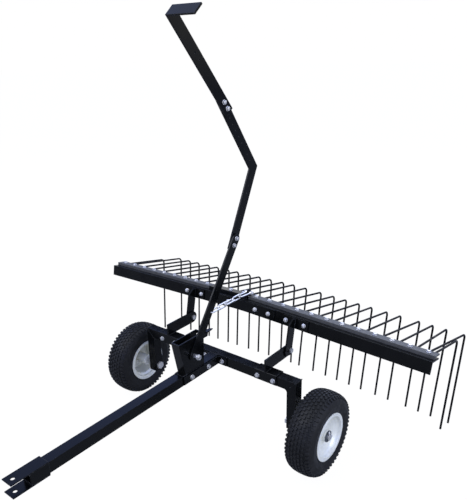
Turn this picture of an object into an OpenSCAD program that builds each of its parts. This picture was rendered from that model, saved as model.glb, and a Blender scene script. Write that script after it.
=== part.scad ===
// Tow-behind spring-wire rake (lawn dethatcher class), millimetres.
// X runs along the axle, -Y is the hitch end, +Y the tine end, +Z is up.
// Origin: the point on the ground straight under the middle of the axle.

/* [Chassis] */
// outside size of the square steel tube
tube = 38; // [34:1:42]
// wall of the square steel tube
tube_wall = 3; // [2:0.5:4]
// top face of the cross tube above the ground
tube_top = 329; // [329:1:331]
// half the width across the two axle legs
leg_half = 368; // [366:1:370]
// front end of the drawbar tube, forward of the axle centre
tongue_end = 850; // [840:5:900]
// hitch pin hole diameter
hitch_pin_d = 13; // [11:0.5:16]

/* [Wheels] */
// tyre outside radius
tyre_r = 154; // [152:1:154]
// tyre width
tyre_w = 106; // [100:1:106]
// rim flange radius
rim_r = 88; // [86:1:90]
// wheel centre from the middle of the machine
wheel_x = 450; // [449:1:452]
// wheel spindle diameter
spindle_d = 19; // [16:1:20]

/* [Lever] */
// width of the lower lever bar
lever_w = 38; // [34:1:42]
// width of the middle and upper lever bars
lever_w2 = 42; // [38:1:44]
// length of the hand grip plate across the lever
grip_len = 111; // [80:1:130]

/* [Rake] */
// length of each half of the angle iron
bar_len = 762; // [756:1:770]
// depth of the flat top leg of the angle iron
bar_depth = 61; // [58:1:66]
// height of the front leg of the angle iron
bar_height = 45; // [43:1:50]
// how far each half of the bar droops from the middle
droop = 1.5; // [0:0.1:1.6]
// diameter of the spring wire
wire_d = 7.9; // [6:0.1:7.9]
// spacing of the clamp bolts and tines
pitch = 63.5; // [63:0.1:64]
// length of the hanging leg of each tine
tine_leg = 384; // [360:1:384]
// width of the clamp strips
strip_w = 44; // [40:1:46]

/* [Hidden] */
$fn = 48;
tube_bot = tube_top - tube;
tube_mid = tube_top - tube/2;
origin_y = 165.275;
th = tube/2;
axle_z = 154;
leg_in = leg_half - tube;
lever_y = -160;
lever_z = 392;
rake_y = 127;
rake_z = 357;
rake_tilt = 12;
lever_dir = 54.65;
lx0 = 19.3;
lx1 = 25.3;
clamp_x = 240;
first_bolt = 11.5*pitch;
bolt_v = 57;
top_w = 134;
wire_w = top_w + 4.05;
strip_b = top_w + 8.1;
strip_t = 5;
arm_v = 432;
bend_r = 20;
chain_a = [-56.2, 522.0];
lug_v = 53;
lug_w = 156;
chain_b = [rake_y + lug_v*cos(rake_tilt) + lug_w*sin(rake_tilt),
           rake_z - lug_v*sin(rake_tilt) + lug_w*cos(rake_tilt)];
lug_x = -3.6;
shackle_len = 62;
chain_tilt = atan2(chain_b[1] - chain_a[1], chain_b[0] - chain_a[0]);
bow = [lug_x, chain_b[0] - shackle_len*cos(chain_tilt), chain_b[1] - shackle_len*sin(chain_tilt)];
hook = [(lx0 + lx1)/2, chain_a[0] + 0.2, chain_a[1]];
run = bow - hook;
run_len = norm(run);
link_d = 6;
link_gap = link_d + 0.3;
link_c = (run_len + 4*link_gap)/4;
yaws = [2.7, -1.5, 0.1, 1.5, -0.6, 0.2, -0.4, 0.5, 0.9, 1.7, 1.5, -0.2,
        -0.3, 0.5, -0.2, 0, 0.6, -0.5, 0.3, -0.2, 0.4, -0.4, 0.2, -0.1];

// ---------- helpers ----------
// the sub-parts are drawn about the middle of the axle; this stands them on the middle of the footprint
module placed() { translate([0, origin_y, 0]) children(); }
// a flat outline in the Y-Z plane, thick along X
module yz(x0, x1) { translate([x0, 0, 0]) rotate([90, 0, 90]) linear_extrude(x1 - x0) children(); }
// a flat outline in the X-Z plane, thick along Y
module xz(y0, y1) { translate([0, y1, 0]) rotate([90, 0, 0]) linear_extrude(y1 - y0) children(); }
module box(a, b) { translate(a) cube(b - a); }
module rod_x(x0, x1, y, z, r) { translate([x0, y, z]) rotate([0, 90, 0]) cylinder(h = x1 - x0, r = r); }
module rod_y(x, y0, y1, z, r) { translate([x, y0, z]) rotate([-90, 0, 0]) cylinder(h = y1 - y0, r = r); }
module hex_x(x0, x1, y, z, af) {
  translate([x0, y, z]) rotate([0, 90, 0]) cylinder(h = x1 - x0, r = af/2/cos(30), $fn = 6); }
module hex_y(x, y0, y1, z, af) {
  translate([x, y0, z]) rotate([-90, 0, 0]) cylinder(h = y1 - y0, r = af/2/cos(30), $fn = 6); }
// bolt along X: head under a (negative side when a > b), nut at the far end
module bolt_x(a, b, y, z, r, tail) {
  s = b > a ? 1 : -1;
  rod_x(min(a, b + s*tail), max(a, b + s*tail), y, z, r);
  hex_x(min(a, a - s*r*1.3), max(a, a - s*r*1.3), y, z, r*3.25);
  hex_x(min(b, b + s*r*1.6), max(b, b + s*r*1.6), y, z, r*3.25);
}
module bolt_y(x, a, b, z, r, tail) {
  rod_y(x, a, b + tail, z, r);
  hex_y(x, a - r*1.3, a, z, r*3.25);
  hex_y(x, b, b + r*1.6, z, r*3.25);
}
module at(p) { translate([p[0], p[1]]) children(); }
function dir(a) = [cos(a), sin(a)];
function nrm(a) = [sin(a), -cos(a)];
// rake frame: Y is rearward along the tine arms, Z is up through the bar
module rake() { translate([0, rake_y, rake_z]) rotate([-rake_tilt, 0, 0]) children(); }
module half(s) {
  rake() translate([0, 0, top_w]) rotate([0, s*droop, 0]) translate([0, 0, -top_w]) children(); }

// ---------- chassis ----------
module axle_tube() color([0.03, 0.03, 0.04]) placed() difference() {
  xz(-th, th) polygon([[-leg_half, tube_top], [leg_half, tube_top], [leg_in, tube_bot], [-leg_in, tube_bot]]);
  xz(-th + tube_wall, th - tube_wall) polygon([
    [-leg_half + tube_wall, tube_top - tube_wall], [leg_half - tube_wall, tube_top - tube_wall],
    [leg_in + tube_wall, tube_bot + tube_wall], [-leg_in - tube_wall, tube_bot + tube_wall]]);
  for (x = [-274, -206, 206, 274]) rod_y(x, -30, 30, 309, 5.1);
  for (x = [-42, 42]) rod_y(x, -30, 30, 310, 5.1);
}
module leg(s) color([0.03, 0.03, 0.04]) placed() mirror([s < 0 ? 1 : 0, 0, 0]) difference() {
  union() {
    xz(-th, th) polygon([[leg_in, tube_bot], [leg_half, tube_top], [leg_half, 130], [leg_in, 130]]);
    xz(-th, th) difference() {
      translate([leg_in - 12, tube_bot - 12]) square([12, 12]);
      translate([leg_in - 12, tube_bot - 12]) circle(r = 12);
    }
  }
  xz(-th + tube_wall, th - tube_wall) polygon([[leg_in + tube_wall, tube_bot + tube_wall],
    [leg_half - tube_wall, tube_top - tube_wall], [leg_half - tube_wall, 100], [leg_in + tube_wall, 100]]);
  rod_x(leg_in - 20, leg_half + 20, 0, axle_z, spindle_d/2 + 0.1);
}
module axle_leg_left() leg(-1);
module axle_leg_right() leg(1);
module tongue_tube() color([0.03, 0.03, 0.04]) placed() difference() {
  box([-th, -tongue_end, tube_bot], [th, -th, tube_top]);
  box([-th + tube_wall, -tongue_end - 1, tube_bot + tube_wall], [th - tube_wall, -th + 1, tube_top - tube_wall]);
  for (y = [-83, -175]) rod_x(-th - 1, th + 1, y, 310, 5.1);
}
module tongue_bracket(s) color([0.03, 0.03, 0.04]) placed() mirror([s < 0 ? 1 : 0, 0, 0]) difference() {
  union() {
    box([th, -215, 294], [th + 5, -th, 326]);
    box([th, -th - 5, 294], [62, -th, 326]);
  }
  for (y = [-83, -175]) rod_x(th - 1, th + 9, y, 310, 5.1);
  rod_y(42, -30, 0, 310, 5.1);
}
module tongue_bracket_left() tongue_bracket(-1);
module tongue_bracket_right() tongue_bracket(1);
module tongue_bolts() color([0.7, 0.7, 0.72]) placed()
  for (y = [-83, -175]) bolt_x(th + 5, -th - 5, y, 310, 5, 11);
module bracket_axle_bolts() color([0.7, 0.7, 0.72]) placed()
  for (x = [-42, 42]) bolt_y(x, -th - 5, th, 310, 5, 11);
module hitch_ear(z) color([0.03, 0.03, 0.04]) placed() difference() {
  box([-22.5, -911, z], [22.5, -789, z + 3.4]);
  translate([0, -891, z - 1]) cylinder(h = 6, r = hitch_pin_d/2);
}
module hitch_ear_top() hitch_ear(tube_top + 1.3);
module hitch_ear_bottom() hitch_ear(tube_bot - 4.7);
module hitch_side_right() color([0.03, 0.03, 0.04]) placed()
  box([th, -850, tube_bot - 1.3], [22.5, -789, tube_top + 1.3]);
module hitch_side_left() color([0.03, 0.03, 0.04]) placed()
  box([-22.5, -850, tube_bot - 1.3], [-th, -789, tube_top + 1.3]);
module bracket_side(x0, x1) yz(x0, x1) difference() {
  polygon([[-202, tube_top], [-227, 458], [-95, 458], [-100, tube_top]]);
  at([lever_y, lever_z]) circle(r = 6.1);
  at([-182, 405]) circle(r = 4);
}
module lever_bracket() color([0.03, 0.03, 0.04]) placed() {
  bracket_side(-th, -th + 4);
  bracket_side(th - 4, th);
  yz(-th + 4, th - 4) polygon([[-202, tube_top], [-227, 458], [-223, 458], [-198, tube_top]]);
  yz(th - 4, th) polygon([[-97, 432], [-74, 432], [-66, 458], [-97, 458]]);
  translate([0, 0, 454]) linear_extrude(4)
    polygon([[th - 1, -89.5], [30, -89.5], [30, -70], [27, -53], [th - 1, -60]]);
  box([-th + 4, -99, 446], [th - 4, -95.4, 458]);
}
module lever_pivot_bolt() color([0.7, 0.7, 0.72]) placed() {
  rod_x(-31, 57, lever_y, lever_z, 6);
  hex_x(57, 66, lever_y, lever_z, 18);
  hex_x(-29, -19, lever_y, lever_z, 18);
}
module lever_spacer() color([0.7, 0.7, 0.72]) placed() difference() {
  rod_x(25.6, 56.9, lever_y, lever_z, 9);
  rod_x(20, 60, lever_y, lever_z, 6.05);
}
module saddle(s) color([0.03, 0.03, 0.04]) placed() mirror([s < 0 ? 1 : 0, 0, 0]) difference() {
  yz(clamp_x - 48, clamp_x + 48) difference() {
    union() {
      translate([-th - 4, 293]) square([tube + 8, tube_top - 293]);
      translate([-th, 300]) square([tube, tube_top + 4 - 300]);
      for (y = [-th, th]) at([y, tube_top]) circle(r = 4);
    }
    translate([-th, 280]) square([tube, tube_top - 280]);
  }
  for (x = [206, 274]) rod_y(x, -30, 30, 309, 5.1);
}
module saddle_clamp_left() saddle(-1);
module saddle_clamp_right() saddle(1);
module saddle_bolts() color([0.7, 0.7, 0.72]) placed()
  for (x = [-274, -206, 206, 274]) bolt_y(x, -th - 4, th + 4, 309, 5, 11);
module arm(s) color([0.03, 0.03, 0.04]) placed()
  mirror([s < 0 ? 1 : 0, 0, 0]) yz(clamp_x - 3, clamp_x + 3) difference() {
  union() {
    translate([-24, tube_top + 4]) square([150, 48]);
    at([rake_y - 1, tube_top + 28]) circle(r = 24);
  }
  at([rake_y, rake_z]) circle(r = 6.1);
}
module link_arm_left() arm(-1);
module link_arm_right() arm(1);
module rake_pivot_bolts() color([0.7, 0.7, 0.72]) placed() {
  rod_x(226, 249.5, rake_y, rake_z, 6);
  hex_x(249.5, 257.5, rake_y, rake_z, 18);
  hex_x(227, 237, rake_y, rake_z, 18);
  rod_x(-262, -237, rake_y, rake_z, 6);
  hex_x(-237, -229, rake_y, rake_z, 18);
  hex_x(-259.5, -249.5, rake_y, rake_z, 18);
}
module spindle(s) color([0.7, 0.7, 0.72]) placed() mirror([s < 0 ? 1 : 0, 0, 0]) difference() {
  union() {
    rod_x(leg_in, 500, 0, axle_z, spindle_d/2);
    hex_x(leg_in - 10, leg_in, 0, axle_z, 28);
  }
  translate([494.5, 0, axle_z - 15]) cylinder(h = 30, r = 2);
}
module spindle_left() spindle(-1);
module spindle_right() spindle(1);
module wheel_spacers() color([0.7, 0.7, 0.72]) placed() for (s = [0, 1]) mirror([s, 0, 0]) difference() {
  rod_x(leg_half, 398.6, 0, axle_z, 14);
  rod_x(leg_half - 1, 400, 0, axle_z, spindle_d/2 + 0.1);
}
module wheel_washers() color([0.7, 0.7, 0.72]) placed() for (s = [0, 1]) mirror([s, 0, 0]) difference() {
  rod_x(488.5, 491.3, 0, axle_z, 21);
  rod_x(480, 495, 0, axle_z, spindle_d/2 + 0.1);
}
module split_pins() color([0.7, 0.7, 0.72]) placed() for (s = [0, 1]) mirror([s, 0, 0]) {
  translate([494.5, 0, axle_z - 16]) cylinder(h = 27, r = 1.8);
  translate([494.5, 0, axle_z + 15.5]) rotate([0, 90, 0]) rotate_extrude() translate([4.2, 0]) circle(r = 1.6);
}

// ---------- wheels ----------
module tyre(s) color([0.02, 0.02, 0.02]) placed()
  translate([s*wheel_x, 0, axle_z]) rotate([0, 90, 0]) rotate_extrude()
  difference() {
    polygon([[77, -43], [90, -46], [104, -tyre_w/2 + 1], [124, -tyre_w/2], [140, -tyre_w/2 + 3],
      [149, -tyre_w/2 + 11], [tyre_r, -30], [tyre_r, 30], [149, tyre_w/2 - 11], [140, tyre_w/2 - 3],
      [124, tyre_w/2], [104, tyre_w/2 - 1], [90, 46], [77, 43]]);
    polygon([[70, -34], [90, -37], [106, -44], [124, -45], [138, -42], [145, -28], [145, 28],
      [138, 42], [124, 45], [106, 44], [90, 37], [70, 34]]);
  }
module tyre_left() tyre(-1);
module tyre_right() tyre(1);
module rim(s) color([0.8, 0.8, 0.82]) placed()
  translate([s*wheel_x, 0, axle_z]) mirror([s < 0 ? 1 : 0, 0, 0])
  rotate([0, 90, 0]) rotate_extrude() {
    polygon([[rim_r - 3, -49], [rim_r, -49], [rim_r, -46.3], [80, -46.3], [76.7, -43.2], [76.7, -34], [68, -28],
      [68, 28], [76.7, 34], [76.7, 43.2], [80, 46.3], [rim_r, 46.3], [rim_r, 49], [rim_r - 3, 49], [76, 49],
      [73.5, 43], [73.5, 36], [65, 30.5], [65, -30.5], [73.5, -36], [73.5, -43], [76, -49]]);
    polygon([[75, 45], [71, 38], [63, 31], [52, 26.5], [38, 25], [21.5, 27], [21.5, 23.5], [38, 21.5], [53, 23],
      [65, 28], [73, 35], [76, 42]]);
    polygon([[13.2, -51], [21.5, -51], [21.5, 38], [13.2, 38]]);
  }
module rim_left() rim(-1);
module rim_right() rim(1);
module bushes(s) color([0.12, 0.12, 0.13]) placed()
  translate([s*wheel_x, 0, axle_z]) mirror([s < 0 ? 1 : 0, 0, 0])
  rotate([0, 90, 0]) rotate_extrude() {
    translate([spindle_d/2 + 0.06, -51]) square([13.1 - spindle_d/2 - 0.06, 26]);
    translate([spindle_d/2 + 0.06, 12]) square([13.1 - spindle_d/2 - 0.06, 26]);
  }
module hub_bushes_left() bushes(-1);
module hub_bushes_right() bushes(1);

// ---------- lever ----------
module lever_lower() color([0.03, 0.03, 0.04]) placed() yz(lx0, lx1) difference() {
  at([lever_y, lever_z]) rotate(lever_dir) difference() {
    union() {
      circle(r = lever_w/2);
      translate([0, -lever_w/2]) square([452, lever_w]);
      translate([452, 0]) circle(r = lever_w/2);
    }
    circle(r = 6.05);
    translate([143, -9]) circle(r = 4);
  }
  at(chain_a) circle(r = 5);
  for (p = [[86, 739], [102, 761]]) at(p) circle(r = 4.1);
}
bend = [220.4, 1001.8];
mid_a = 63.5;
mid_b = 124.3;
mid_m = (mid_a + mid_b)/2;
mitre = lever_w2/2/cos((mid_b - mid_a)/2);
module lever_middle() color([0.03, 0.03, 0.04]) placed() yz(lx0 - 6, lx0) difference() {
  polygon([bend - 313*dir(mid_a) - lever_w2/2*nrm(mid_a), bend - 313*dir(mid_a) + lever_w2/2*nrm(mid_a),
    bend + mitre*nrm(mid_m), bend + 316*dir(mid_b) + lever_w2/2*nrm(mid_b),
    bend + 316*dir(mid_b) - lever_w2/2*nrm(mid_b), bend - mitre*nrm(mid_m)]);
  for (p = [[86, 739], [102, 761], [52, 1247], [69, 1225]]) at(p) circle(r = 4.1);
  for (k = [1:8]) at(bend - (12 + 28*k)*dir(mid_a)) circle(r = 3);
  for (k = [1:8]) at(bend + (8 + 28*k)*dir(mid_b)) circle(r = 3);
}
up_a = 129.8;
up_c = 837*nrm(up_a - 180);
module lever_upper() color([0.03, 0.03, 0.04]) placed() difference() {
  union() {
    yz(lx0, lx1) rotate(up_a) translate([878, -837 - lever_w2/2]) square([406, lever_w2]);
    yz(lx0, lx0 + grip_len) rotate(up_a) translate([1278, -837 - lever_w2/2]) square([6, lever_w2]);
  }
  for (p = [[52, 1247], [69, 1225]]) rod_x(0, 40, p[0], p[1], 4.1);
  for (p = [[-80.5, 1404.8], [-62.6, 1383.6]]) rod_x(0, 40, p[0], p[1], 2.5);
}
module lever_bolts() color([0.7, 0.7, 0.72]) placed()
  for (p = [[86, 739], [102, 761], [52, 1247], [69, 1225]]) bolt_x(lx0 - 6, lx1, p[0], p[1], 4, 9);

// ---------- chain ----------
// one round-wire link along +X from its start wire centre, flat in X-Y
module link() {
  r = 8.4;
  for (m = [0, 1]) translate([m*link_c, 0, 0]) mirror([m, 0, 0]) translate([r, 0, 0]) rotate([0, 0, 90])
    rotate_extrude(angle = 180) translate([r, 0]) circle(d = link_d);
  for (y = [-r, r]) translate([r, y, 0]) rotate([0, 90, 0]) cylinder(h = link_c - 2*r, d = link_d);
}
module chain_links() color([0.75, 0.75, 0.77]) placed() translate(hook)
  rotate([0, 0, atan2(run[1], run[0])]) rotate([0, -atan2(run[2], norm([run[0], run[1]])), 0])
    for (i = [0:3]) translate([i*(link_c - link_gap), 0, 0]) rotate([i*90, 0, 0]) link();
module shackle() color([0.75, 0.75, 0.77]) placed()
  translate([lug_x, chain_b[0], chain_b[1]]) rotate([chain_tilt, 0, 0]) {
  translate([0, -shackle_len + 9.6, 0]) rotate([0, 0, 180]) rotate_extrude(angle = 180)
    translate([9.6, 0]) circle(d = link_d);
  for (x = [-9.6, 9.6]) {
    translate([x, -shackle_len + 9.6, 0]) rotate([-90, 0, 0]) cylinder(h = shackle_len - 9.6, d = link_d);
    rod_x(x - 3.5, x + 3.5, 0, 0, 7);
  }
  rod_x(-14, 22, 0, 0, 4);
  hex_x(-18.6, -13.1, 0, 0, 13);
  hex_x(13.1, 19.5, 0, 0, 13);
}

// ---------- rake ----------
module rake_bar(s) color([0.03, 0.03, 0.04]) placed() half(s) mirror([s < 0 ? 1 : 0, 0, 0]) difference() {
  union() {
    box([1.5, 12, top_w - 5], [bar_len, 12 + bar_depth, top_w]);
    box([1.5, 12, top_w - bar_height], [bar_len, 17, top_w]);
  }
  for (k = [0:11]) translate([first_bolt - k*pitch, bolt_v, top_w - 10]) cylinder(h = 20, r = 4.1);
  for (x = [67, 129, 210, 288]) rod_y(x, 0, 30, 112, 4.1);
}
module rake_bar_left() rake_bar(-1);
module rake_bar_right() rake_bar(1);
module strip_holes() for (k = [0:11]) translate([first_bolt - k*pitch, bolt_v, strip_b - 2]) cylinder(h = 12, r = 4.1);
// a clamp strip with a turned-down front edge that closes the gap the wire makes
module strip_angle(x0, x1) yz(x0, x1)
  polygon([[36, top_w + 0.3], [40, top_w + 0.3], [40, strip_b], [36 + strip_w, strip_b],
    [36 + strip_w, strip_b + strip_t], [36, strip_b + strip_t]]);
module clamp_strip_right() color([0.6, 0.6, 0.64]) placed() half(1) difference() {
  strip_angle(10, 760);
  strip_holes();
}
module clamp_strip_left() color([0.6, 0.6, 0.64]) placed() half(-1) mirror([1, 0, 0]) difference() {
  strip_angle(195, 760);
  strip_holes();
}
module lug_plate() color([0.03, 0.03, 0.04]) placed() half(-1) difference() {
  union() {
    strip_angle(-190, 0);
    yz(-6, 0) difference() {
      union() {
        translate([40, strip_b]) square([26, lug_w - strip_b]);
        at([lug_v, lug_w]) circle(r = 13);
      }
      at([lug_v, lug_w]) circle(r = 5.7);
    }
  }
  mirror([1, 0, 0]) strip_holes();
}
module splice_plate() color([0.03, 0.03, 0.04]) placed() rake() difference() {
  xz(7, 12) polygon([[-155, 90], [-155, 130], [155, 130], [155, 90]]);
  for (s = [0, 1], x = [67, 129]) mirror([s, 0, 0]) translate([0, 0, top_w]) rotate([0, droop, 0])
    translate([0, 0, -top_w]) rod_y(x, 0, 20, 112, 4.1);
}
module splice_bolts() color([0.7, 0.7, 0.72]) placed()
  for (s = [-1, 1], x = [67, 129]) half(s) bolt_y(s*x, 7, 17, 112, 4, 8);
module upright(s) color([0.03, 0.03, 0.04]) placed() rake() mirror([s < 0 ? 1 : 0, 0, 0])
  yz(243.3, 249.3) difference() {
    polygon([[-30, -8], [-22, -20], [4, -20], [12, -12], [12, 82], [7, 84], [7, 122], [-6, 122], [-30, 98]]);
    circle(r = 6.05);
  }
module upright_left() upright(-1);
module upright_right() upright(1);
module upright_base(s) color([0.03, 0.03, 0.04]) placed() rake() mirror([s < 0 ? 1 : 0, 0, 0])
  xz(7, 12) translate([0, top_w]) rotate(-droop) translate([0, -top_w]) difference() {
    translate([197, 91]) square([108, 40]);
    for (x = [210, 288]) at([x, 112]) circle(r = 4.1);
  }
module upright_base_left() upright_base(-1);
module upright_base_right() upright_base(1);
module upright_bolts() color([0.7, 0.7, 0.72]) placed()
  for (s = [-1, 1], x = [210, 288]) half(s) bolt_y(s*x, 7, 17, 112, 4, 8);
// one spring wire: arm back from v0 to the bend, then down
module tine(x, yaw, reach, leg_len) translate([x, bolt_v, wire_w]) rotate([0, 0, -yaw]) {
  a = 83.5;
  t = bend_r*tan(a/2);
  far = reach - bolt_v;
  translate([0, -15.5, 0]) rotate([-90, 0, 0]) cylinder(h = far - t + 15.5, d = wire_d);
  translate([0, far - t, -bend_r]) rotate([90, 0, 90]) rotate([0, 0, 90 - a]) {
    rotate_extrude(angle = a) translate([bend_r, 0]) circle(d = wire_d);
    translate([bend_r, 0, 0]) rotate([90, 0, 0]) cylinder(h = leg_len - t, d = wire_d);
  }
}
function wire_x(k) = k == 0 ? first_bolt - 9 : first_bolt - k*pitch + 14;
module tines(k0, k1) color([0.03, 0.03, 0.03]) placed()
  for (k = [k0:k1]) half(k < 12 ? 1 : -1) tine(wire_x(k), yaws[k], arm_v, tine_leg);
module tines_a() tines(0, 5);
module tines_b() tines(6, 11);
module tines_c() tines(12, 17);
module tines_d() tines(18, 23);
module end_tine_right() color([0.03, 0.03, 0.03]) placed()
  half(1) tine(first_bolt + 9, 0.9, 325, tine_leg - 12);
module end_tine_left() color([0.03, 0.03, 0.03]) placed()
  half(-1) tine(-first_bolt - 9, 0.2, 325, tine_leg - 12);
module clamp_bolts() color([0.7, 0.7, 0.72]) placed()
  for (k = [0:23]) half(k < 12 ? 1 : -1) translate([first_bolt - k*pitch, bolt_v, 0]) {
    translate([0, 0, top_w - 16]) cylinder(h = strip_b + strip_t - top_w + 16, r = 4);
    translate([0, 0, strip_b + strip_t]) cylinder(h = 5.3, r = 7.5, $fn = 6);
  }
module clamp_nuts() color([0.7, 0.7, 0.72]) placed()
  for (k = [0:23]) half(k < 12 ? 1 : -1) translate([first_bolt - k*pitch, bolt_v, top_w - 11.5]) difference() {
    cylinder(h = 6.5, r = 7.5, $fn = 6);
    translate([0, 0, -1]) cylinder(h = 9, r = 4);
  }

axle_tube();
axle_leg_left();
axle_leg_right();
tongue_tube();
tongue_bracket_left();
tongue_bracket_right();
tongue_bolts();
bracket_axle_bolts();
hitch_ear_top();
hitch_ear_bottom();
hitch_side_left();
hitch_side_right();
lever_bracket();
lever_pivot_bolt();
lever_spacer();
saddle_clamp_left();
saddle_clamp_right();
saddle_bolts();
link_arm_left();
link_arm_right();
rake_pivot_bolts();
spindle_left();
spindle_right();
wheel_spacers();
wheel_washers();
split_pins();
tyre_left();
tyre_right();
rim_left();
rim_right();
hub_bushes_left();
hub_bushes_right();
lever_lower();
lever_middle();
lever_upper();
lever_bolts();
chain_links();
shackle();
rake_bar_left();
rake_bar_right();
clamp_strip_left();
clamp_strip_right();
lug_plate();
splice_plate();
splice_bolts();
upright_left();
upright_right();
upright_base_left();
upright_base_right();
upright_bolts();
tines_a();
tines_b();
tines_c();
tines_d();
end_tine_left();
end_tine_right();
clamp_bolts();
clamp_nuts();
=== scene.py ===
import math

import bpy
from bpy.props import FloatProperty, FloatVectorProperty, IntProperty, PointerProperty
from bpy.types import Operator, Panel, PropertyGroup
from mathutils import Matrix, Vector


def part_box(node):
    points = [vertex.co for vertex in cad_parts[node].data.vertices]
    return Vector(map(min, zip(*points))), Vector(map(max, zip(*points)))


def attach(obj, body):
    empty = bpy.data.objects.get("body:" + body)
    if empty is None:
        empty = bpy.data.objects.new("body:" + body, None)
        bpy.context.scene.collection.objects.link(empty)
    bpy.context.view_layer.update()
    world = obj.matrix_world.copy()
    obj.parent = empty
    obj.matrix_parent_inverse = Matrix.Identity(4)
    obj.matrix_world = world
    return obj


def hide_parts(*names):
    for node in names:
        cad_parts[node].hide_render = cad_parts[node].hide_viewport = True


bl_info = {
    "name": "Tow-behind wire rake",
    "version": (1, 0, 0),
    "blender": (4, 5, 0),
    "location": "View3D > Sidebar > Wire rake",
    "description": "Finishes a tow-behind spring-wire rake around its CAD frame",
    "category": "Object",
}

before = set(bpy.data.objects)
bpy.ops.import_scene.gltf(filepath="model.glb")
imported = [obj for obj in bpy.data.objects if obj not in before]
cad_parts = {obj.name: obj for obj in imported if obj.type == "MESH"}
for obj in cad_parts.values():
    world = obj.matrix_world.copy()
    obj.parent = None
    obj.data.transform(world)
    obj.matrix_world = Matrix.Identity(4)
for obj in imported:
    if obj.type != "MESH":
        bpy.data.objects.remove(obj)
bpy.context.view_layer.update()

# Places are in metres. Pieces are shaped about the middle of the axle, and hand_over moves them
# along Y into the frame.
AXLE_Y = (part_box("axle_tube")[0].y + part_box("axle_tube")[1].y) / 2
TUBE_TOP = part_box("tongue_tube")[1].z
TUBE_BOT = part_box("tongue_tube")[0].z
TYRE_RADIUS = 0.154
WHEEL_X = 0.450

# The rake bar: where it hinges, how far it tilts, the droop of each half about the height of the
# bar's fold, the top of the clamp strips, and the row of clamp bolts along them.
RAKE_PIVOT = Vector((0, 0.127, 0.357))
RAKE_TILT = math.radians(12)
DROOP = math.radians(1.5)
FOLD_W = 0.134
STRIP_TOP = FOLD_W + 0.0131
PITCH = 0.0635
FIRST_BOLT = 11.5 * PITCH
BOLT_V = 0.057

# Fasteners. CHASSIS_BOLTS holds CAD node, grip, the way the heads face, and places.
WASHER_DEPTH = 0.0016
THIN_BOLT = 0.004
CHASSIS_BOLTS = (
    ("tongue_bolts", 0.048, (1, 0, 0), [(0.024, y, 0.310) for y in (-0.083, -0.175)]),
    ("bracket_axle_bolts", 0.043, (0, -1, 0), [(x, -0.024, 0.310) for x in (-0.042, 0.042)]),
    ("saddle_bolts", 0.046, (0, -1, 0),
     [(x, -0.023, 0.309) for x in (-0.274, -0.206, 0.206, 0.274)]))
LEVER_BOLTS = ((0.086, 0.739), (0.102, 0.761), (0.052, 1.247), (0.069, 1.225))
LEVER_PIVOT = (0.0465, -0.160, 0.392)
RAKE_BOLTS = (("splice_bolts", (0.067, 0.129)), ("upright_bolts", (0.210, 0.288)))

# Rows of tread lugs: row from the middle, place across the tyre, drop of the crown there.
TREAD_ROWS = (
    (0, 0.0, 0.0), (1, 0.0128, 0.0004), (1, -0.0128, 0.0004), (2, 0.0256, 0.0019),
    (2, -0.0256, 0.0019))

# Stage. Lamps hold name, place, target, power and colour; sky bands hold height and colour.
LAMPS = (
    ("key", (-2.2, -3.0, 4.2), (0, 0.1, 0.3), 150, (1, 1, 1)),
    ("side", (4.4, -0.6, 2.2), (0.1, 0, 0.4), 95, (0.93, 0.96, 1)),
    ("back", (-0.5, 4.5, 3.5), (0, 0.2, 0.4), 90, (0.85, 0.92, 1)))
SKY_BANDS = (
    (0.0, (1.0, 1.0, 1.0)), (0.14, (0.95, 0.97, 1.0)), (0.30, (0.50, 0.70, 1.55)),
    (0.58, (0.52, 0.70, 1.45)), (0.90, (0.85, 0.90, 1.0)))
SEEN_SKY = (0.955, 0.955, 0.955)
FLOOR_WHITE, FLOOR_SHARE = 1.08, 0.90
CAMERA_PLACE = Vector((1.2862, -1.5038, 1.4379))
CAMERA_ANGLES = (39.79, 22.19, -1.9)
CAMERA_LENS = 45.0617
CAMERA_SHIFT = (0.02533, 0.0606)

# CAD nodes by finish. Every other node is black steelwork.
ZINC_NODES = (
    "tongue_bolts bracket_axle_bolts lever_pivot_bolt lever_spacer saddle_bolts rake_pivot_bolts "
    "spindle_left spindle_right wheel_spacers split_pins lever_bolts splice_bolts "
    "upright_bolts clamp_bolts clamp_nuts chain_links shackle"
).split()
WIRE_NODES = "tines_a tines_b tines_c tines_d end_tine_left end_tine_right".split()
STRIP_NODES = ["clamp_strip_left", "clamp_strip_right"]
RIM_NODES = ["rim_left", "rim_right"]
WASHER_NODES = ["wheel_washers"]
BUSH_NODES = ["hub_bushes_left", "hub_bushes_right"]
TYRE_NODES = ["tyre_left", "tyre_right"]
OTHER_NODES = (
    ZINC_NODES + WIRE_NODES + STRIP_NODES + RIM_NODES + WASHER_NODES + BUSH_NODES + TYRE_NODES)
BLACK_NODES = [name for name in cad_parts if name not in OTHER_NODES]

RAKE = Matrix.Translation(RAKE_PIVOT) @ Matrix.Rotation(-RAKE_TILT, 4, "X")


def half(side):
    """Frame of one drooping half of the bar: Y rearward along the tines, Z up through the bar."""
    return (RAKE @ Matrix.Translation((0, 0, FOLD_W)) @ Matrix.Rotation(side * DROOP, 4, "Y")
            @ Matrix.Translation((0, 0, -FOLD_W)))


# ---------- sizes and colours ----------


class RakeSizes(PropertyGroup):
    """Sizes of the modelled detail."""

    lug_depth: FloatProperty(
        name="Lug depth", description="Height of the turf lugs over the carcass",
        default=0.0042, min=0.002, max=0.006, unit="LENGTH")
    lug_count: IntProperty(
        name="Lugs around", description="Lugs in each row around the tyre",
        default=54, min=30, max=70)
    weld_bead: FloatProperty(
        name="Weld bead", description="Radius of the weld beads",
        default=0.0024, min=0.001, max=0.004, unit="LENGTH")


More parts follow.
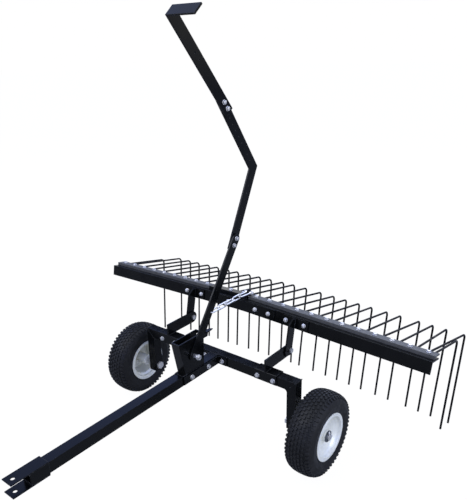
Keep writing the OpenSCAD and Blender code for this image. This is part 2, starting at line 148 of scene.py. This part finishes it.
class RakeColours(PropertyGroup):
    """Colours of the finishes."""

    coat: FloatVectorProperty(
        name="Powder coat", description="Black powder coat on the steelwork",
        subtype="COLOR", size=3, default=(0.0014, 0.0015, 0.0015), min=0, max=1)
    wire: FloatVectorProperty(
        name="Spring wire", description="Black coat on the spring wires",
        subtype="COLOR", size=3, default=(0.004, 0.004, 0.005), min=0, max=1)
    strip: FloatVectorProperty(
        name="Clamp strip", description="Galvanised clamp strips",
        subtype="COLOR", size=3, default=(0.075, 0.075, 0.073), min=0, max=1)
    zinc: FloatVectorProperty(
        name="Zinc", description="Zinc plating on bolts and chain",
        subtype="COLOR", size=3, default=(0.62, 0.62, 0.63), min=0, max=1)
    rim: FloatVectorProperty(
        name="Rim paint", description="Silver white paint on the rims",
        subtype="COLOR", size=3, default=(0.79, 0.785, 0.70), min=0, max=1)
    rubber: FloatVectorProperty(
        name="Rubber", description="Tyre rubber",
        subtype="COLOR", size=3, default=(0.0024, 0.0025, 0.0028), min=0, max=1)


# ---------- shader node groups ----------


def new_group(name, inputs, outputs):
    group = bpy.data.node_groups.new(name, "ShaderNodeTree")
    for label, kind, value in inputs:
        socket = group.interface.new_socket(name=label, in_out="INPUT", socket_type=kind)
        socket.default_value = value
    for label, kind in outputs:
        group.interface.new_socket(name=label, in_out="OUTPUT", socket_type=kind)
    return group, group.nodes.new("NodeGroupInput"), group.nodes.new("NodeGroupOutput")


def group_mottle():
    """Slow value change over a surface, between Low and High."""
    group, gin, gout = new_group(
        "Mottle",
        [("Scale", "NodeSocketFloat", 20.0), ("Low", "NodeSocketFloat", 0.3),
         ("High", "NodeSocketFloat", 0.5)],
        [("Value", "NodeSocketFloat")])
    place = group.nodes.new("ShaderNodeTexCoord")
    noise = group.nodes.new("ShaderNodeTexNoise")
    noise.inputs["Detail"].default_value = 5.0
    spread = group.nodes.new("ShaderNodeMapRange")
    spread.inputs["From Min"].default_value = 0.32
    spread.inputs["From Max"].default_value = 0.68
    link = group.links.new
    link(place.outputs["Object"], noise.inputs["Vector"])
    link(gin.outputs["Scale"], noise.inputs["Scale"])
    link(noise.outputs["Fac"], spread.inputs["Value"])
    link(gin.outputs["Low"], spread.inputs["To Min"])
    link(gin.outputs["High"], spread.inputs["To Max"])
    link(spread.outputs["Result"], gout.inputs["Value"])
    return group


def group_grain():
    """Fine height for orange peel, cast grain or wire scale."""
    group, gin, gout = new_group(
        "Grain",
        [("Scale", "NodeSocketFloat", 900.0), ("Amount", "NodeSocketFloat", 1.0)],
        [("Height", "NodeSocketFloat")])
    place = group.nodes.new("ShaderNodeTexCoord")
    fine = group.nodes.new("ShaderNodeTexNoise")
    fine.inputs["Detail"].default_value = 3.0
    scale = group.nodes.new("ShaderNodeMath")
    scale.operation = "MULTIPLY"
    link = group.links.new
    link(place.outputs["Object"], fine.inputs["Vector"])
    link(gin.outputs["Scale"], fine.inputs["Scale"])
    link(fine.outputs["Fac"], scale.inputs[0])
    link(gin.outputs["Amount"], scale.inputs[1])
    link(scale.outputs["Value"], gout.inputs["Height"])
    return group


def group_edges():
    """Rounded edge normals, and an edge mask broken up by noise, which carries worn edges and, on
    the powder coat and the tyres, painted highlights along the edges.
    """
    group, gin, gout = new_group(
        "Edges",
        [("Radius", "NodeSocketFloat", 0.0012), ("Wear", "NodeSocketFloat", 0.5)],
        [("Normal", "NodeSocketVector"), ("WornAndHighlight", "NodeSocketFloat")])
    bevel = group.nodes.new("ShaderNodeBevel")
    bevel.samples = 6
    flat = group.nodes.new("ShaderNodeNewGeometry")
    dot = group.nodes.new("ShaderNodeVectorMath")
    dot.operation = "DOT_PRODUCT"
    edge = group.nodes.new("ShaderNodeMapRange")
    edge.inputs["From Min"].default_value = 0.985
    edge.inputs["From Max"].default_value = 0.80
    place = group.nodes.new("ShaderNodeTexCoord")
    noise = group.nodes.new("ShaderNodeTexNoise")
    noise.inputs["Scale"].default_value = 70.0
    noise.inputs["Detail"].default_value = 6.0
    patch = group.nodes.new("ShaderNodeMapRange")
    patch.inputs["From Min"].default_value = 0.50
    patch.inputs["From Max"].default_value = 0.66
    both = group.nodes.new("ShaderNodeMath")
    both.operation = "MULTIPLY"
    worn_and_highlight_edge = group.nodes.new("ShaderNodeMath")
    worn_and_highlight_edge.operation = "MULTIPLY"
    link = group.links.new
    link(gin.outputs["Radius"], bevel.inputs["Radius"])
    link(bevel.outputs["Normal"], dot.inputs[0])
    link(flat.outputs["True Normal"], dot.inputs[1])
    link(dot.outputs["Value"], edge.inputs["Value"])
    link(place.outputs["Object"], noise.inputs["Vector"])
    link(noise.outputs["Fac"], patch.inputs["Value"])
    link(edge.outputs["Result"], both.inputs[0])
    link(patch.outputs["Result"], both.inputs[1])
    link(both.outputs["Value"], worn_and_highlight_edge.inputs[0])
    link(gin.outputs["Wear"], worn_and_highlight_edge.inputs[1])
    link(bevel.outputs["Normal"], gout.inputs["Normal"])
    link(worn_and_highlight_edge.outputs["Value"], gout.inputs["WornAndHighlight"])
    return group


def group_dust_and_highlight():
    """A mask on faces that look up, in patches, for light dust; on the spring wires it also paints
    a highlight on the tops.
    """
    group, gin, gout = new_group(
        "DustAndHighlight",
        [("Amount", "NodeSocketFloat", 0.2), ("Scale", "NodeSocketFloat", 14.0)],
        [("Mask", "NodeSocketFloat")])
    flat = group.nodes.new("ShaderNodeNewGeometry")
    split = group.nodes.new("ShaderNodeSeparateXYZ")
    up = group.nodes.new("ShaderNodeMapRange")
    up.inputs["From Min"].default_value = -0.2
    up.inputs["From Max"].default_value = 1.0
    up.inputs["To Min"].default_value = 0.15
    place = group.nodes.new("ShaderNodeTexCoord")
    noise = group.nodes.new("ShaderNodeTexNoise")
    noise.inputs["Detail"].default_value = 8.0
    noise.inputs["Roughness"].default_value = 0.65
    patch = group.nodes.new("ShaderNodeMapRange")
    patch.inputs["From Min"].default_value = 0.38
    patch.inputs["From Max"].default_value = 0.72
    both = group.nodes.new("ShaderNodeMath")
    both.operation = "MULTIPLY"
    out = group.nodes.new("ShaderNodeMath")
    out.operation = "MULTIPLY"
    link = group.links.new
    link(flat.outputs["Normal"], split.inputs["Vector"])
    link(split.outputs["Z"], up.inputs["Value"])
    link(place.outputs["Object"], noise.inputs["Vector"])
    link(gin.outputs["Scale"], noise.inputs["Scale"])
    link(noise.outputs["Fac"], patch.inputs["Value"])
    link(up.outputs["Result"], both.inputs[0])
    link(patch.outputs["Result"], both.inputs[1])
    link(both.outputs["Value"], out.inputs[0])
    link(gin.outputs["Amount"], out.inputs[1])
    link(out.outputs["Value"], gout.inputs["Mask"])
    return group


def effect(name):
    makers = {
        "Mottle": group_mottle, "Grain": group_grain, "Edges": group_edges, "DustAndHighlight": group_dust_and_highlight}
    return bpy.data.node_groups.get(name) or makers[name]()


# ---------- materials ----------


def place_effect(mat, name, **values):
    node = mat.node_tree.nodes.new("ShaderNodeGroup")
    node.node_tree = effect(name)
    for label, value in values.items():
        node.inputs[label].default_value = value
    return node


def blend_colour(mat, base, top, factor):
    mix = mat.node_tree.nodes.new("ShaderNodeMix")
    mix.data_type = "RGBA"
    if isinstance(base, bpy.types.NodeSocket):
        mat.node_tree.links.new(base, mix.inputs["A"])
    else:
        mix.inputs["A"].default_value = (*base, 1)
    mix.inputs["B"].default_value = (*top, 1)
    mat.node_tree.links.new(factor, mix.inputs["Factor"])
    return mix.outputs["Result"]


def finish_material(name, base, tint, rough, mottle, grain, depth, metallic=0.0, coat=0.0,
                    edge=0.0012, wear_and_highlight=0.0, worn_and_highlight_colour=None, dust_and_highlight=0.0, dust_and_highlight_colour=None,
                    specular=0.5):
    """A finish: base and tint mottled together, worn edges that on some finishes are a painted
    edge highlight, dust on up-facing faces that on the spring wire is also a painted highlight on
    the tops, grain bump and rounded edges.
    """
    old = bpy.data.materials.get(name)
    if old:
        return old
    mat = bpy.data.materials.new(name)
    mat.use_nodes = True
    nodes, link = mat.node_tree.nodes, mat.node_tree.links.new
    shader = nodes["Principled BSDF"]
    shader.inputs["Metallic"].default_value = metallic
    shader.inputs["Specular IOR Level"].default_value = specular
    shader.inputs["Coat Weight"].default_value = coat
    shader.inputs["Coat Roughness"].default_value = 0.1
    tone = place_effect(mat, "Mottle", Scale=mottle, Low=0.0, High=1.0)
    colour = blend_colour(mat, base, tint, tone.outputs["Value"])
    edges = place_effect(mat, "Edges", Radius=edge, Wear=wear_and_highlight)
    if wear_and_highlight:
        colour = blend_colour(mat, colour, worn_and_highlight_colour, edges.outputs["WornAndHighlight"])
    if dust_and_highlight:
        dust_and_highlight_mask = place_effect(mat, "DustAndHighlight", Amount=dust_and_highlight)
        colour = blend_colour(mat, colour, dust_and_highlight_colour, dust_and_highlight_mask.outputs["Mask"])
    link(colour, shader.inputs["Base Color"])
    sheen = place_effect(mat, "Mottle", Scale=mottle * 2.3, Low=rough[0], High=rough[1])
    link(sheen.outputs["Value"], shader.inputs["Roughness"])
    peel = place_effect(mat, "Grain", Scale=grain, Amount=1.0)
    bump = nodes.new("ShaderNodeBump")
    bump.inputs["Strength"].default_value = 1.0
    bump.inputs["Distance"].default_value = depth
    link(peel.outputs["Height"], bump.inputs["Height"])
    link(edges.outputs["Normal"], bump.inputs["Normal"])
    link(bump.outputs["Normal"], shader.inputs["Normal"])
    return mat


def colours():
    return bpy.context.scene.rake_colours


# The light bluish-grey worn edge colour is a painted highlight along the plate edges, in patches.
def powder_coat():
    return finish_material(
        "black_powder_coat", colours().coat, (0.0025, 0.0027, 0.0027), (0.14, 0.26), 9.0, 700.0,
        0.00005, edge=0.0016, wear_and_highlight=0.5, worn_and_highlight_colour=(0.13, 0.135, 0.15),
        dust_and_highlight=0.02, dust_and_highlight_colour=(0.04, 0.045, 0.06), specular=0.13)


# The warm light dust on the faces that look up is both dust and a painted highlight on the tops of
# the arms.
def wire_coat():
    return finish_material(
        "black_spring_wire", colours().wire, (0.0020, 0.0019, 0.0017), (0.34, 0.50), 30.0, 1200.0,
        0.00004, edge=0.0004, dust_and_highlight=0.30, dust_and_highlight_colour=(0.11, 0.10, 0.085), specular=0.05)


def galvanised():
    return finish_material(
        "galvanised_strip", colours().strip, (0.055, 0.055, 0.054), (0.38, 0.55), 45.0, 500.0,
        0.00005, metallic=0.4, wear_and_highlight=0.4, worn_and_highlight_colour=(0.3, 0.3, 0.32), dust_and_highlight=0.10,
        dust_and_highlight_colour=(0.09, 0.088, 0.085), specular=0.2)


def zinc_plate():
    return finish_material(
        "zinc_plate", colours().zinc, (0.66, 0.645, 0.61), (0.24, 0.44), 60.0, 1500.0, 0.00004,
        metallic=0.9, edge=0.0008, wear_and_highlight=0.4, worn_and_highlight_colour=(0.75, 0.75, 0.76))


def rim_paint():
    return finish_material(
        "rim_paint", colours().rim, (0.61, 0.61, 0.545), (0.28, 0.42), 12.0, 600.0, 0.00005,
        metallic=0.15, coat=0.1, wear_and_highlight=0.3, worn_and_highlight_colour=(0.50, 0.50, 0.50), dust_and_highlight=0.12,
        dust_and_highlight_colour=(0.46, 0.46, 0.45))


# The light bluish-grey worn edge colour is a painted highlight along the lug edges, in patches.
def tyre_rubber():
    return finish_material(
        "tyre_rubber", colours().rubber, (0.0058, 0.0059, 0.0062), (0.46, 0.66), 22.0, 900.0,
        0.00010, edge=0.0008, wear_and_highlight=0.5, worn_and_highlight_colour=(0.032, 0.033, 0.037), dust_and_highlight=0.11,
        dust_and_highlight_colour=(0.05, 0.05, 0.053), specular=0.24)


def bush_plastic():
    return finish_material(
        "bush_plastic", (0.03, 0.03, 0.032), (0.045, 0.045, 0.048), (0.45, 0.6), 50.0, 900.0,
        0.00005)


def dark_washer():
    return finish_material(
        "dark_phosphate", (0.055, 0.065, 0.075), (0.09, 0.10, 0.11), (0.35, 0.5), 60.0, 1200.0,
        0.00005, metallic=0.6, edge=0.0008, wear_and_highlight=0.5, worn_and_highlight_colour=(0.3, 0.3, 0.32))


def floor_finish():
    """Grey to the light, and mostly plain white to the camera."""
    mat = bpy.data.materials.new("floor")
    mat.use_nodes = True
    shader = mat.node_tree.nodes["Principled BSDF"]
    shader.inputs["Base Color"].default_value = (0.34, 0.34, 0.33, 1)
    shader.inputs["Roughness"].default_value = 0.9
    shader.inputs["Specular IOR Level"].default_value = 0.1
    nodes, link = mat.node_tree.nodes, mat.node_tree.links.new
    seen, share = nodes.new("ShaderNodeLightPath"), nodes.new("ShaderNodeMath")
    share.operation = "MULTIPLY"
    share.inputs[1].default_value = FLOOR_SHARE
    paper, mix = nodes.new("ShaderNodeEmission"), nodes.new("ShaderNodeMixShader")
    paper.inputs["Color"].default_value = (1, 1, 1, 1)
    paper.inputs["Strength"].default_value = FLOOR_WHITE
    link(seen.outputs["Is Camera Ray"], share.inputs[0])
    link(share.outputs[0], mix.inputs["Fac"])
    link(shader.outputs["BSDF"], mix.inputs[1])
    link(paper.outputs["Emission"], mix.inputs[2])
    link(mix.outputs["Shader"], nodes["Material Output"].inputs["Surface"])
    return mat


# ---------- making and placing pieces ----------


def clear_selection():
    if bpy.context.object and bpy.context.object.mode != "OBJECT":
        bpy.ops.object.mode_set(mode="OBJECT")
    bpy.ops.object.select_all(action="DESELECT")


def own_object(name):
    obj = bpy.context.object
    obj.name = name
    obj.data.name = name
    return obj


def settle(obj):
    """Puts the piece's place in its mesh, so the object sits at the origin."""
    clear_selection()
    obj.select_set(True)
    bpy.context.view_layer.objects.active = obj
    bpy.ops.object.transform_apply(location=True, rotation=True, scale=True)
    return obj


def move_mesh(obj, matrix):
    obj.data.transform(matrix)
    return obj


def join_pieces(objs, name):
    clear_selection()
    for obj in objs:
        obj.select_set(True)
    bpy.context.view_layer.objects.active = objs[0]
    if len(objs) > 1:
        bpy.ops.object.join()
    return own_object(name)


def copies(obj, matrices, name):
    """Copies the modelled piece to each place, each with its own mesh, and joins them."""
    made = []
    for place in matrices:
        twin = obj.copy()
        twin.data = obj.data.copy()
        bpy.context.collection.objects.link(twin)
        made.append(move_mesh(twin, place))
    bpy.data.objects.remove(obj)
    return join_pieces(made, name)


def hand_over(obj, body, material, nodes=(), smooth=35):
    """Moves a finished piece into the frame, smooths it, gives it its material and body, and hides
    the CAD nodes it replaces.
    """
    settle(obj)
    move_mesh(obj, Matrix.Translation((0, AXLE_Y, 0)))
    bpy.ops.object.shade_smooth_by_angle(angle=math.radians(smooth))
    obj.data.materials.clear()
    obj.data.materials.append(material)
    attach(obj, body)
    if nodes:
        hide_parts(*nodes)
    return obj


def pick_faces(obj, wanted):
    """Selects the faces whose normal is wanted, and leaves the piece in edit mode."""
    bpy.ops.object.mode_set(mode="EDIT")
    bpy.ops.mesh.select_mode(type="FACE")
    bpy.ops.mesh.select_all(action="DESELECT")
    bpy.ops.object.mode_set(mode="OBJECT")
    for face in obj.data.polygons:
        face.select = wanted(face.normal)
    bpy.ops.object.mode_set(mode="EDIT")


def round_edges(obj, width, segments=1):
    bevel = obj.modifiers.new("bevel", "BEVEL")
    bevel.width = width
    bevel.segments = segments
    bevel.limit_method = "ANGLE"
    bpy.ops.object.modifier_apply(modifier=bevel.name)
    return obj


def spun_ring(name, section, centre, steps):
    """Spins a closed section of (radius, along) points about the X axis through centre."""
    clear_selection()
    bpy.ops.mesh.primitive_circle_add(vertices=len(section), radius=0.01, fill_type="NOTHING")
    obj = own_object(name)
    for vert, (radius, along) in zip(obj.data.vertices, section):
        vert.co = (centre.x + along, centre.y, centre.z + radius)
    bpy.ops.object.mode_set(mode="EDIT")
    bpy.ops.mesh.select_all(action="SELECT")
    bpy.ops.mesh.spin(steps=steps, angle=2 * math.pi, center=centre, axis=(1, 0, 0))
    bpy.ops.mesh.select_all(action="SELECT")
    bpy.ops.mesh.remove_doubles(threshold=0.00002)
    bpy.ops.mesh.normals_make_consistent(inside=False)
    bpy.ops.object.mode_set(mode="OBJECT")
    return obj


def turf_lug(length, width, depth, taper):
    """One rubber lug about the origin: X across the tyre, Y around it, Z outwards."""
    clear_selection()
    bpy.ops.mesh.primitive_cube_add(size=1, location=(0, 0, 0))
    obj = own_object("turf_lug")
    obj.scale = (width, length, depth)
    settle(obj)
    pick_faces(obj, lambda normal: normal.z > 0.9)
    bpy.ops.transform.resize(value=(taper, taper, 1))
    bpy.ops.object.mode_set(mode="OBJECT")
    return round_edges(obj, 0.0007)


def around_tyre(centre, angle, along, radius, lean, twist):
    """Matrix that stands a lug on the tread at an angle around the axle."""
    return (Matrix.Translation(centre) @ Matrix.Rotation(angle, 4, "X")
            @ Matrix.Translation((along, 0, radius))
            @ Matrix.Rotation(lean, 4, "Y") @ Matrix.Rotation(twist, 4, "Z"))


def rod(radius, top, bottom, sides, name):
    """A plain cylinder along Z between two heights."""
    clear_selection()
    bpy.ops.mesh.primitive_cylinder_add(
        vertices=sides, radius=radius, depth=top - bottom, location=(0, 0, (top + bottom) / 2))
    return settle(own_object(name))


def hex_block(flats, top, bottom, name):
    """A hexagon across flats between two heights, chamfered at both ends."""
    obj = rod(flats / math.sqrt(3), top, bottom, 6, name)
    pick_faces(obj, lambda normal: abs(normal.z) > 0.9)
    bpy.ops.mesh.inset(thickness=flats * 0.075, depth=flats * 0.04)
    bpy.ops.object.mode_set(mode="OBJECT")
    return obj


def washer(radius, bottom):
    disc = rod(radius, bottom + WASHER_DEPTH, bottom, 28, "washer")
    return round_edges(disc, WASHER_DEPTH * 0.25, 2)


def threaded_end(radius, start, length):
    """The threaded end of a bolt, going down from start, with its ridges and end chamfer."""
    ridge = 0.00125 if radius < 0.0045 else 0.0015
    count = int(length / ridge)
    core = 0.0004
    section = [(core, 0.0)]
    for k in range(count):
        section += [(radius, k * ridge + ridge * 0.1), (radius * 0.88, k * ridge + ridge * 0.6)]
    section += [(radius * 0.8, count * ridge), (core, count * ridge)]
    thread = spun_ring("thread", section, Vector((0, 0, 0)), 18)
    down = Matrix.Rotation(math.radians(90), 4, "Y")
    return move_mesh(thread, Matrix.Translation((0, 0, start)) @ down)


def hex_fastener(radius, grip, tail):
    """Bolt, two washers and nut: under the head at the origin, head up, shank and nut down."""
    flats, disc = radius * 3.25, radius * 2.15
    head, nut = radius * 1.25, radius * 1.5
    seat = -grip - WASHER_DEPTH
    parts = [
        round_edges(rod(radius * 0.97, 0, -grip, 20, "shank"), 0.0003),
        washer(disc, 0), hex_block(flats, WASHER_DEPTH + head, WASHER_DEPTH, "bolt_head"),
        washer(disc, seat), hex_block(flats, seat, seat - nut, "nut"),
        threaded_end(radius, -grip - nut, tail - nut)]
    return join_pieces(parts, "hex_fastener")


def facing(place, outward):
    """Matrix that stands a fastener at place with its head facing outward."""
    return Matrix.Translation(place) @ Vector(outward).to_track_quat("Z", "Y").to_matrix().to_4x4()


def lay_bolts(node, body, radius, grip, tail, places, nodes=()):
    """Puts a bolt, washers and nut at each place, for the CAD node or nodes they replace."""
    bolts = copies(hex_fastener(radius, grip, tail), places, "hex_" + node)
    hand_over(bolts, body, zinc_plate(), [node, *nodes])


def weld_seam(runs, radius, body, name):
    """A seam of overlapping weld ripples along each (start, end) run."""
    clear_selection()
    bpy.ops.mesh.primitive_ico_sphere_add(subdivisions=2, radius=radius, location=(0, 0, 0))
    ripple = own_object("weld_ripple")
    ripple.scale = (0.62, 1, 0.8)
    settle(ripple)
    places = []
    for number, (start, end) in enumerate(runs):
        start, end = Vector(start), Vector(end)
        along = end - start
        turn = along.to_track_quat("X", "Z").to_matrix().to_4x4()
        count = max(2, int(along.length / (radius * 0.75)))
        for k in range(count + 1):
            wander = 0.14 * radius * math.sin(2.4 * k + number)
            swell = 1 + 0.10 * math.sin(1.7 * k + 2 * number)
            spot = start + along * (k / count) + Vector((0, 0, wander))
            places.append(Matrix.Translation(spot) @ turn @ Matrix.Scale(swell, 4))
    seam = copies(ripple, places, name)
    return hand_over(seam, body, powder_coat(), smooth=60)


# ---------- the stage ----------


def studio_world():
    """Soft light from all round, bluish above the horizon, and plain white for the camera."""
    world = bpy.data.worlds.new("studio")
    world.use_nodes = True
    sky, link = world.node_tree.nodes, world.node_tree.links.new
    place, split = sky.new("ShaderNodeTexCoord"), sky.new("ShaderNodeSeparateXYZ")
    tint = sky.new("ShaderNodeValToRGB")
    while len(tint.color_ramp.elements) < len(SKY_BANDS):
        tint.color_ramp.elements.new(0.5)
    for element, (stop, colour) in zip(tint.color_ramp.elements, SKY_BANDS):
        element.position = stop
        element.color = (*colour, 1)
    seen, plain = sky.new("ShaderNodeLightPath"), sky.new("ShaderNodeMix")
    plain.data_type = "RGBA"
    plain.inputs["B"].default_value = (*SEEN_SKY, 1)
    link(place.outputs["Generated"], split.inputs["Vector"])
    link(split.outputs["Z"], tint.inputs["Fac"])
    link(tint.outputs["Color"], plain.inputs["A"])
    link(seen.outputs["Is Camera Ray"], plain.inputs["Factor"])
    link(plain.outputs["Result"], sky["Background"].inputs["Color"])
    sky["Background"].inputs["Strength"].default_value = 1.05
    return world


def area_light(name, place, target, power, tint):
    light = bpy.data.lights.new(name, "AREA")
    light.size = 3.0
    light.energy = power
    light.color = tint
    lamp = bpy.data.objects.new(name, light)
    lamp.location = Vector(place) + Vector((0, AXLE_Y, 0))
    lamp.rotation_euler = (Vector(target) - Vector(place)).to_track_quat("-Z", "Y").to_euler()
    return lamp


def front_camera():
    """Camera in front of the machine on its right, looking back and down, a little rolled."""
    azimuth, elevation, roll = (math.radians(angle) for angle in CAMERA_ANGLES)
    level = math.cos(elevation)
    ahead = Vector((-math.sin(azimuth) * level, math.cos(azimuth) * level, -math.sin(elevation)))
    across = Vector((math.cos(azimuth), math.sin(azimuth), 0))
    above = across.cross(ahead)
    right = across * math.cos(roll) + above * math.sin(roll)
    up = above * math.cos(roll) - across * math.sin(roll)
    place = CAMERA_PLACE + Vector((0, AXLE_Y, 0))
    lens = bpy.data.cameras.new("camera")
    lens.sensor_fit = "HORIZONTAL"
    lens.sensor_width = 36
    lens.lens = CAMERA_LENS
    lens.shift_x, lens.shift_y = CAMERA_SHIFT
    lens.clip_end = 100
    camera = bpy.data.objects.new("camera", lens)
    camera.matrix_world = Matrix((
        (right.x, up.x, -ahead.x, place.x), (right.y, up.y, -ahead.y, place.y),
        (right.z, up.z, -ahead.z, place.z), (0, 0, 0, 1)))
    return camera


# ---------- operators ----------


class RAKE_OT_finishes(Operator):
    """Gives every CAD node its procedural finish"""

    bl_idname = "wire_rake.finishes"
    bl_label = "Finish the steelwork"

    def execute(self, context):
        groups = (
            (BLACK_NODES, powder_coat()), (ZINC_NODES, zinc_plate()), (WIRE_NODES, wire_coat()),
            (STRIP_NODES, galvanised()), (RIM_NODES, rim_paint()), (WASHER_NODES, dark_washer()),
            (BUSH_NODES, bush_plastic()), (TYRE_NODES, tyre_rubber()))
        for names, material in groups:
            for name in names:
                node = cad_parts[name]
                if not node.material_slots:
                    node.data.materials.append(material)
                for slot in node.material_slots:
                    slot.material = material
        return {"FINISHED"}


class RAKE_OT_tyres(Operator):
    """Builds both turf tyres: carcass with sidewall ribs, tread lugs and shoulder lugs"""

    bl_idname = "wire_rake.tyres"
    bl_label = "Build the tyres"

    def execute(self, context):
        sizes = context.scene.rake_sizes
        depth, count = sizes.lug_depth, sizes.lug_count
        step = 2 * math.pi / count
        wide = 0.0528
        base = TYRE_RADIUS - depth
        outside = [
            (0.0770, 0.0430), (0.0805, 0.0458), (0.0880, 0.0468), (0.0900, 0.0482),
            (0.0915, 0.0482), (0.0930, 0.0478), (0.1000, 0.0508), (0.1080, wide - 0.0006),
            (0.1150, wide), (0.1160, wide + 0.0002), (0.1175, wide + 0.0002),
            (0.1185, wide - 0.0001), (0.1250, wide - 0.0013), (0.1320, 0.0478),
            (0.1385, 0.0442), (0.1440, 0.0372), (base - 0.0020, 0.0256),
            (base - 0.0008, 0.0130), (base, 0.0)]
        inside = [
            (0.0735, 0.0360), (0.0900, 0.0390), (0.1080, 0.0440), (0.1330, 0.0400),
            (0.1420, 0.0250)]
        ring = outside + [(r, -x) for r, x in reversed(outside[:-1])]
        ring += [(r, -x) for r, x in inside] + list(reversed(inside))
        tall = depth + 0.003
        for side, name in ((-1, "left"), (1, "right")):
            centre = Vector((side * WHEEL_X, 0, TYRE_RADIUS))
            carcass = spun_ring("tyre_carcass", ring, centre, 108)
            places = []
            for row, along, drop in TREAD_ROWS:
                lean = math.copysign(0.11 * row, along) if row else 0.0
                twist = math.copysign(0.35, along) if row else 0.0
                radius = TYRE_RADIUS - 0.5 * tall - drop - 0.0003
                for k in range(count):
                    angle = (k + 0.5 * (row % 2)) * step
                    places.append(around_tyre(centre, angle, along, radius, lean, twist))
            tread = copies(turf_lug(0.0118, 0.0098, tall, 0.86), places, "tread_lugs")
            places = [
                around_tyre(
                    centre, (k + 0.5) * step, sign * 0.0402, 0.1417, sign * 0.60, sign * 0.12)
                for sign in (-1, 1) for k in range(count)]
            edge = copies(turf_lug(0.0098, 0.0150, depth + 0.0045, 0.84), places, "shoulder_lugs")
            tyre = join_pieces([carcass, tread, edge], f"turf_tyre_{name}")
            hand_over(tyre, f"wheel_{name}", tyre_rubber(), [f"tyre_{name}"], smooth=40)
        return {"FINISHED"}


class RAKE_OT_fasteners(Operator):
    """Builds the bolts, washers and nuts that hold the chassis, lever and rake together"""

    bl_idname = "wire_rake.fasteners"
    bl_label = "Build the fasteners"

    def execute(self, context):
        for node, grip, outward, places in CHASSIS_BOLTS:
            lay_bolts(node, "chassis", 0.0042, grip, 0.010,
                      [facing(place, outward) for place in places])
        lay_bolts("lever_bolts", "lever", THIN_BOLT, 0.012, 0.010,
                  [facing((0.0253, y, z), (1, 0, 0)) for y, z in LEVER_BOLTS])
        sleeve = round_edges(rod(0.0078, -0.0002, -0.0208, 32, "spacer_tube"), 0.0008, 2)
        pivot = join_pieces([hex_fastener(0.0050, 0.076, 0.015), sleeve], "pivot")
        pivot = copies(pivot, [facing(LEVER_PIVOT, (1, 0, 0))], "lever_pivot")
        hand_over(pivot, "chassis", zinc_plate(), ["lever_pivot_bolt", "lever_spacer"])
        for node, stations in RAKE_BOLTS:
            places = [half(side) @ facing((side * x, 0.007, 0.112), (0, -1, 0))
                      for side in (-1, 1) for x in stations]
            lay_bolts(node, "rake", THIN_BOLT, 0.010, 0.009, places)
        places = [half(1 if k < 12 else -1)
                  @ Matrix.Translation((FIRST_BOLT - k * PITCH, BOLT_V, STRIP_TOP))
                  @ Matrix.Rotation(0.7 * k, 4, "Z") for k in range(24)]
        lay_bolts("clamp_bolts", "rake", THIN_BOLT, 0.0181, 0.011, places, ["clamp_nuts"])
        return {"FINISHED"}


class RAKE_OT_welds(Operator):
    """Lays the weld beads on the chassis and the rake"""

    bl_idname = "wire_rake.welds"
    bl_label = "Lay the weld beads"

    def execute(self, context):
        bead = context.scene.rake_sizes.weld_bead
        top, bottom = TUBE_TOP, TUBE_BOT
        arm_foot, sleeve_y, sleeve_x = top + 0.0045, -0.7885, 0.0195
        runs = []
        for side in (-1, 1):
            for y in (-0.019, 0.019):
                runs.append(((side * 0.330, y, bottom), (side * 0.368, y, top)))
            for x in (0.2365, 0.2435):
                runs.append(((side * x, -0.019, arm_foot), (side * x, 0.019, arm_foot)))
            runs.append(((side * 0.0192, -0.215, top), (side * 0.0192, -0.102, top)))
            runs.append(((side * sleeve_x, sleeve_y, bottom), (side * sleeve_x, sleeve_y, top)))
            level = top if side > 0 else bottom
            runs.append(((-0.020, sleeve_y, level), (0.020, sleeve_y, level)))
        runs.append(((-0.017, -0.2175, top + 0.001), (0.017, -0.2175, top + 0.001)))
        weld_seam(runs, bead, "chassis", "chassis_welds")
        runs = [tuple(RAKE @ Vector((side * x, 0.0068, z)) for z in (0.0862, 0.121))
                for side in (-1, 1) for x in (0.2428, 0.2498)]
        runs += [tuple(half(-1) @ Vector((x, y, STRIP_TOP)) for y in (0.041, 0.065))
                 for x in (-0.0064, 0.0004)]
        weld_seam(runs, bead, "rake", "rake_welds")
        return {"FINISHED"}


class RAKE_OT_stage(Operator):
    """Lays the pale floor and sets the soft lights and the camera"""

    bl_idname = "wire_rake.stage"
    bl_label = "Set the stage"

    def execute(self, context):
        clear_selection()
        bpy.ops.mesh.primitive_plane_add(size=60, location=(0, 0, -0.0005))
        floor = settle(own_object("floor"))
        floor.data.materials.append(floor_finish())
        for lamp in LAMPS:
            context.collection.objects.link(area_light(*lamp))
        context.scene.world = studio_world()
        context.scene.view_settings.view_transform = "Standard"
        camera = front_camera()
        context.collection.objects.link(camera)
        context.scene.camera = camera
        return {"FINISHED"}


class RAKE_PT_panel(Panel):
    """Shows the sizes, the colours and the building steps of the rake"""

    bl_idname = "RAKE_PT_panel"
    bl_label = "Wire rake"
    bl_space_type = "VIEW_3D"
    bl_region_type = "UI"
    bl_category = "Wire rake"

    def draw(self, context):
        for label in ("lug_depth", "lug_count", "weld_bead"):
            self.layout.prop(context.scene.rake_sizes, label)
        for label in ("coat", "wire", "strip", "zinc", "rim", "rubber"):
            self.layout.prop(context.scene.rake_colours, label)
        for step in STEPS:
            self.layout.operator(step.bl_idname)


STEPS = (RAKE_OT_finishes, RAKE_OT_tyres, RAKE_OT_fasteners, RAKE_OT_welds, RAKE_OT_stage)
CLASSES = (RakeSizes, RakeColours, *STEPS, RAKE_PT_panel)


def register():
    for cls in CLASSES:
        bpy.utils.register_class(cls)
    bpy.types.Scene.rake_sizes = PointerProperty(type=RakeSizes)
    bpy.types.Scene.rake_colours = PointerProperty(type=RakeColours)


def unregister():
    del bpy.types.Scene.rake_colours
    del bpy.types.Scene.rake_sizes
    for cls in reversed(CLASSES):
        bpy.utils.unregister_class(cls)


def main():
    register()
    for step in STEPS:
        getattr(bpy.ops.wire_rake, step.bl_idname.split(".")[1])()


if __name__ == "__main__":
    main()
